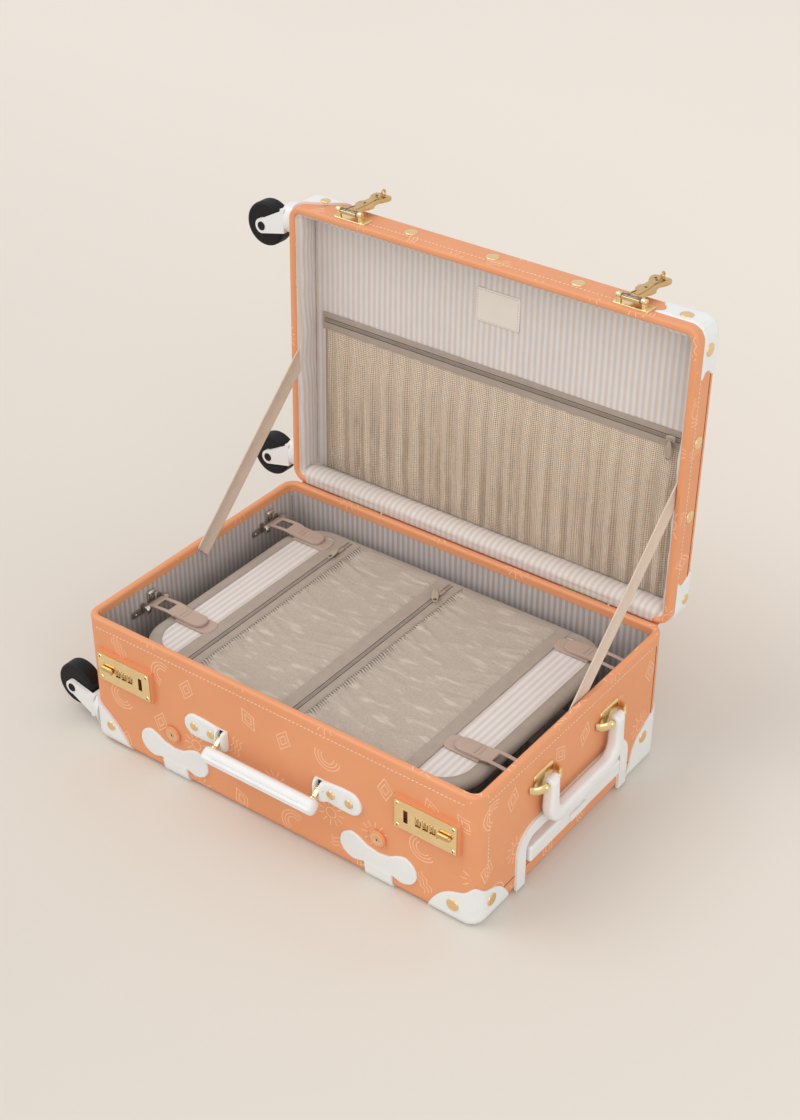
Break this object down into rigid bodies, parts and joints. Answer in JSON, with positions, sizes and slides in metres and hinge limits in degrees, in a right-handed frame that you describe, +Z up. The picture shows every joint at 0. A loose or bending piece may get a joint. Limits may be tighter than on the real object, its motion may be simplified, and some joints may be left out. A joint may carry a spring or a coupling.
{
  "type": "carry-on suitcase",
  "caption": "Hard-sided carry-on case lying open: hinged lid with mesh pocket, clip-in divider, combination locks, carry handles, pull-out trolley and swivel casters.",
  "frame": {"origin": "middle of the base's flat bottom face, on the floor", "axes": "+X to the trolley-handle end, +Y to the hinge side, +Z up out of the open base"},
  "size_m": [0.5865, 0.4491, 0.5117],
  "materials": {
    "orange_leather": "satin grained PU on fibreboard",
    "white_leather": "satin smooth",
    "white_plastic": "glossy moulded",
    "gold_metal": "polished plating",
    "striped_lining": "woven, narrow pale stripes",
    "mesh": "fine open net",
    "webbing": "woven webbing",
    "clip_plastic": "smooth moulded",
    "steel": "plated",
    "zip_metal": "dyed to match the tape",
    "dial": "plated, dark figures",
    "fork_plastic": "glossy moulded",
    "wheel_rubber": "satin black"
  },
  "bodies": {
    "base": {"base_walls": "orange_leather", "base_bottom": "orange_leather", "base_rim": "orange_leather", "lock_pads": "orange_leather", "base_corner_covers": "white_leather", "front_handle_tabs": "white_leather", "strap_bows": "white_leather", "base_caster_housings": "white_plastic", "trolley_bezel": "white_plastic", "base_rivets": "gold_metal", "lock_plates": "gold_metal", "end_handle_mounts": "gold_metal", "hinge_base_leaves": "gold_metal", "base_lining": "striped_lining", "divider_panel": "striped_lining", "divider_pockets": "mesh", "stay_straps": "webbing", "clip_tabs": "clip_plastic", "clip_wall_hooks": "steel", "trolley_outer_tubes": "steel"},
    "lid": {"lid_walls": "orange_leather", "lid_panel": "orange_leather", "lid_rim": "orange_leather", "lid_lining": "striped_lining", "lid_pocket": "mesh", "lid_corner_covers": "white_leather", "lid_rivets": "gold_metal", "lid_caster_housings": "white_plastic", "hasp_bases": "gold_metal", "hinge_lid_leaves": "gold_metal"},
    "fork_base_front": {"caster_fork_base_front": "fork_plastic"},
    "wheel_base_front": {"caster_wheel_base_front": "wheel_rubber"},
    "fork_base_back": {"caster_fork_base_back": "fork_plastic"},
    "wheel_base_back": {"caster_wheel_base_back": "wheel_rubber"},
    "fork_lid_front": {"caster_fork_lid_front": "fork_plastic"},
    "wheel_lid_front": {"caster_wheel_lid_front": "wheel_rubber"},
    "fork_lid_back": {"caster_fork_lid_back": "fork_plastic"},
    "wheel_lid_back": {"caster_wheel_lid_back": "wheel_rubber"},
    "front_handle": {"front_handle": "white_leather"},
    "end_handle": {"end_handle_grip": "white_plastic"},
    "trolley": {"trolley_inner_tubes": "steel", "trolley_grip": "white_plastic"},
    "trolley_button": {"trolley_button": "white_plastic"},
    "hasp_left": {"hasp_tongue_left": "gold_metal"},
    "lock_slider_left": {"lock_slider_left": "gold_metal"},
    "dial_left_1": {"lock_dial_left_1": "dial"},
    "dial_left_2": {"lock_dial_left_2": "dial"},
    "dial_left_3": {"lock_dial_left_3": "dial"},
    "divider_zip_left": {"divider_zip_slider_left": "zip_metal"},
    "clip_left_front": {"clip_hook_left_front": "clip_plastic"},
    "clip_left_back": {"clip_hook_left_back": "clip_plastic"},
    "hasp_right": {"hasp_tongue_right": "gold_metal"},
    "lock_slider_right": {"lock_slider_right": "gold_metal"},
    "dial_right_1": {"lock_dial_right_1": "dial"},
    "dial_right_2": {"lock_dial_right_2": "dial"},
    "dial_right_3": {"lock_dial_right_3": "dial"},
    "divider_zip_right": {"divider_zip_slider_right": "zip_metal"},
    "clip_right_front": {"clip_hook_right_front": "clip_plastic"},
    "clip_right_back": {"clip_hook_right_back": "clip_plastic"},
    "lid_zip": {"lid_zip_slider": "zip_metal"}
  },
  "joints": [
    {"name": "lid_hinge", "type": "hinge", "parent": "base", "child": "lid", "pos_m": [0, 0.169, 0.159], "axis": [1, 0, 0], "range_deg": [0, 91.5], "deforming": ["stay_straps"]},
    {"name": "swivel_base_front", "type": "hinge", "parent": "base", "child": "fork_base_front", "pos_m": [-0.262, -0.145, 0.025], "axis": [1, 0, 0], "continuous": true},
    {"name": "roll_base_front", "type": "hinge", "parent": "fork_base_front", "child": "wheel_base_front", "pos_m": [-0.294, -0.145, 0.039], "axis": [0, 1, 0], "continuous": true},
    {"name": "swivel_base_back", "type": "hinge", "parent": "base", "child": "fork_base_back", "pos_m": [-0.262, 0.145, 0.025], "axis": [1, 0, 0], "continuous": true},
    {"name": "roll_base_back", "type": "hinge", "parent": "fork_base_back", "child": "wheel_base_back", "pos_m": [-0.294, 0.145, 0.039], "axis": [0, 1, 0], "continuous": true},
    {"name": "swivel_lid_front", "type": "hinge", "parent": "lid", "child": "fork_lid_front", "pos_m": [-0.262, 0.20371, 0.4722], "axis": [1, 0, 0], "continuous": true},
    {"name": "roll_lid_front", "type": "hinge", "parent": "fork_lid_front", "child": "wheel_lid_front", "pos_m": [-0.294, 0.20334, 0.4582], "axis": [0, 0.9997, -0.0262], "continuous": true},
    {"name": "swivel_lid_back", "type": "hinge", "parent": "lid", "child": "fork_lid_back", "pos_m": [-0.262, 0.19612, 0.1823], "axis": [1, 0, 0], "continuous": true},
    {"name": "roll_lid_back", "type": "hinge", "parent": "fork_lid_back", "child": "wheel_lid_back", "pos_m": [-0.294, 0.19575, 0.1683], "axis": [0, 0.9997, -0.0262], "continuous": true},
    {"name": "front_handle_swing", "type": "hinge", "parent": "base", "child": "front_handle", "pos_m": [0, -0.1739, 0.088], "axis": [1, 0, 0], "range_deg": [-95, 0]},
    {"name": "end_handle_swing", "type": "hinge", "parent": "base", "child": "end_handle", "pos_m": [0.261, 0, 0.119], "axis": [0, -1, 0], "range_deg": [0, 160]},
    {"name": "trolley_slide", "type": "slide", "parent": "base", "child": "trolley", "axis": [1, 0, 0], "range_m": [0, 0.42]},
    {"name": "trolley_button_press", "type": "slide", "parent": "trolley", "child": "trolley_button", "axis": [-1, 0, 0], "range_m": [0, 0.002], "stiffness_N_per_m": 400},
    {"name": "hasp_swing_left", "type": "hinge", "parent": "lid", "child": "hasp_left", "pos_m": [-0.171, 0.18859, 0.50611], "axis": [1, 0, 0], "range_deg": [0, 180]},
    {"name": "lock_slider_push_left", "type": "slide", "parent": "base", "child": "lock_slider_left", "axis": [-1, 0, 0], "range_m": [0, 0.004], "stiffness_N_per_m": 200},
    {"name": "dial_left_1_turn", "type": "hinge", "parent": "base", "child": "dial_left_1", "pos_m": [-0.2025, -0.1707, 0.108], "axis": [1, 0, 0], "continuous": true},
    {"name": "dial_left_2_turn", "type": "hinge", "parent": "base", "child": "dial_left_2", "pos_m": [-0.194, -0.1707, 0.108], "axis": [1, 0, 0], "continuous": true},
    {"name": "dial_left_3_turn", "type": "hinge", "parent": "base", "child": "dial_left_3", "pos_m": [-0.1855, -0.1707, 0.108], "axis": [1, 0, 0], "continuous": true},
    {"name": "divider_zip_run_left", "type": "slide", "parent": "base", "child": "divider_zip_left", "axis": [0, 1, 0], "range_m": [-0.25, 0.014]},
    {"name": "clip_left_front_lift", "type": "hinge", "parent": "base", "child": "clip_left_front", "pos_m": [-0.198, -0.08, 0.1343], "axis": [0, 1, 0], "range_deg": [0, 110]},
    {"name": "clip_left_back_lift", "type": "hinge", "parent": "base", "child": "clip_left_back", "pos_m": [-0.198, 0.118, 0.1343], "axis": [0, 1, 0], "range_deg": [0, 110]},
    {"name": "hasp_swing_right", "type": "hinge", "parent": "lid", "child": "hasp_right", "pos_m": [0.171, 0.18859, 0.50611], "axis": [1, 0, 0], "range_deg": [0, 180]},
    {"name": "lock_slider_push_right", "type": "slide", "parent": "base", "child": "lock_slider_right", "axis": [1, 0, 0], "range_m": [0, 0.004], "stiffness_N_per_m": 200},
    {"name": "dial_right_1_turn", "type": "hinge", "parent": "base", "child": "dial_right_1", "pos_m": [0.1855, -0.1707, 0.108], "axis": [1, 0, 0], "continuous": true},
    {"name": "dial_right_2_turn", "type": "hinge", "parent": "base", "child": "dial_right_2", "pos_m": [0.194, -0.1707, 0.108], "axis": [1, 0, 0], "continuous": true},
    {"name": "dial_right_3_turn", "type": "hinge", "parent": "base", "child": "dial_right_3", "pos_m": [0.2025, -0.1707, 0.108], "axis": [1, 0, 0], "continuous": true},
    {"name": "divider_zip_run_right", "type": "slide", "parent": "base", "child": "divider_zip_right", "axis": [0, 1, 0], "range_m": [-0.25, 0.014]},
    {"name": "clip_right_front_lift", "type": "hinge", "parent": "base", "child": "clip_right_front", "pos_m": [0.198, -0.08, 0.1343], "axis": [0, -1, 0], "range_deg": [0, 110]},
    {"name": "clip_right_back_lift", "type": "hinge", "parent": "base", "child": "clip_right_back", "pos_m": [0.198, 0.118, 0.1343], "axis": [0, -1, 0], "range_deg": [0, 110]},
    {"name": "lid_zip_run", "type": "slide", "parent": "lid", "child": "lid_zip", "axis": [1, 0, 0], "range_m": [-0.436, 0.008]}
  ]
}
